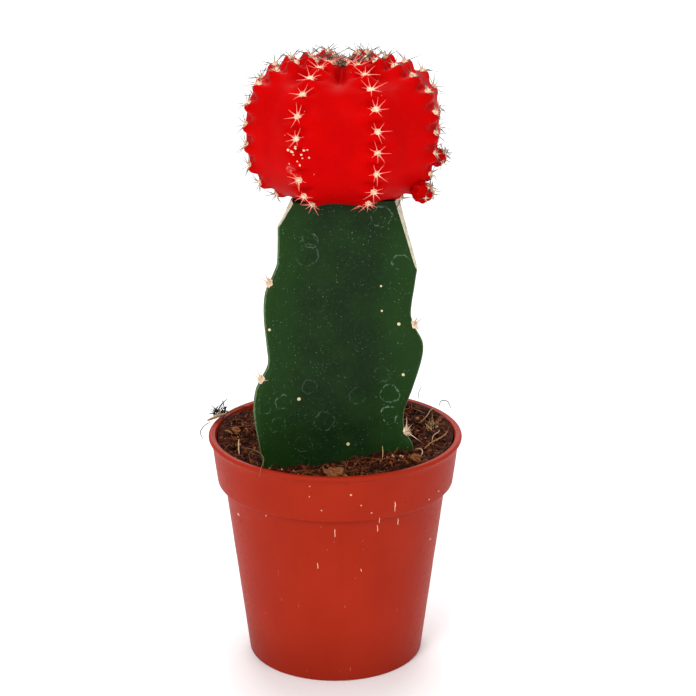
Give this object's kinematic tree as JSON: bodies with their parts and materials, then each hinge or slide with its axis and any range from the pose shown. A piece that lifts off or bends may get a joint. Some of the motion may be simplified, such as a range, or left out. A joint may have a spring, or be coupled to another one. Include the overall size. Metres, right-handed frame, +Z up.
{
  "type": "potted grafted cactus",
  "caption": "Red ribbed globe cactus grafted on an angular green stem, planted in a small tapered terracotta-coloured plastic nursery pot.",
  "frame": {"origin": "under the pot's centre, on the surface it stands on", "axes": "+Z up along the plant's height, -Y towards the flat face between the stem's front ribs, +X to the right seen from the front"},
  "size_m": [0.055, 0.055, 0.1356],
  "materials": {
    "pot_plastic": "satin moulded polypropylene",
    "peat": "loose damp peat and coir",
    "stem_skin": "waxy dark green plant skin",
    "scion_skin": "satin saturated red plant skin",
    "areole_felt": "cream felt and spines",
    "dry_plant": "dry matt fibre",
    "bark": "rough dry bark"
  },
  "bodies": {
    "root": {"pot": "pot_plastic", "potting_soil": "peat", "rootstock": "stem_skin", "scion": "scion_skin", "crown_tuft": "dry_plant", "bark_chip_front": "bark", "bark_chip_left": "bark", "bark_chip_right": "bark", "bark_chip_back": "bark", "root_fibre_right": "dry_plant", "coir_fibre_left": "dry_plant", "twig_on_rim": "bark", "stem_areole_left_lower": "areole_felt", "stem_areole_left_upper": "areole_felt", "stem_areole_right_lower": "areole_felt", "stem_areole_right_upper": "areole_felt", "stem_areole_back_lower": "areole_felt", "stem_areole_back_upper": "areole_felt"}
  },
  "joints": []
}
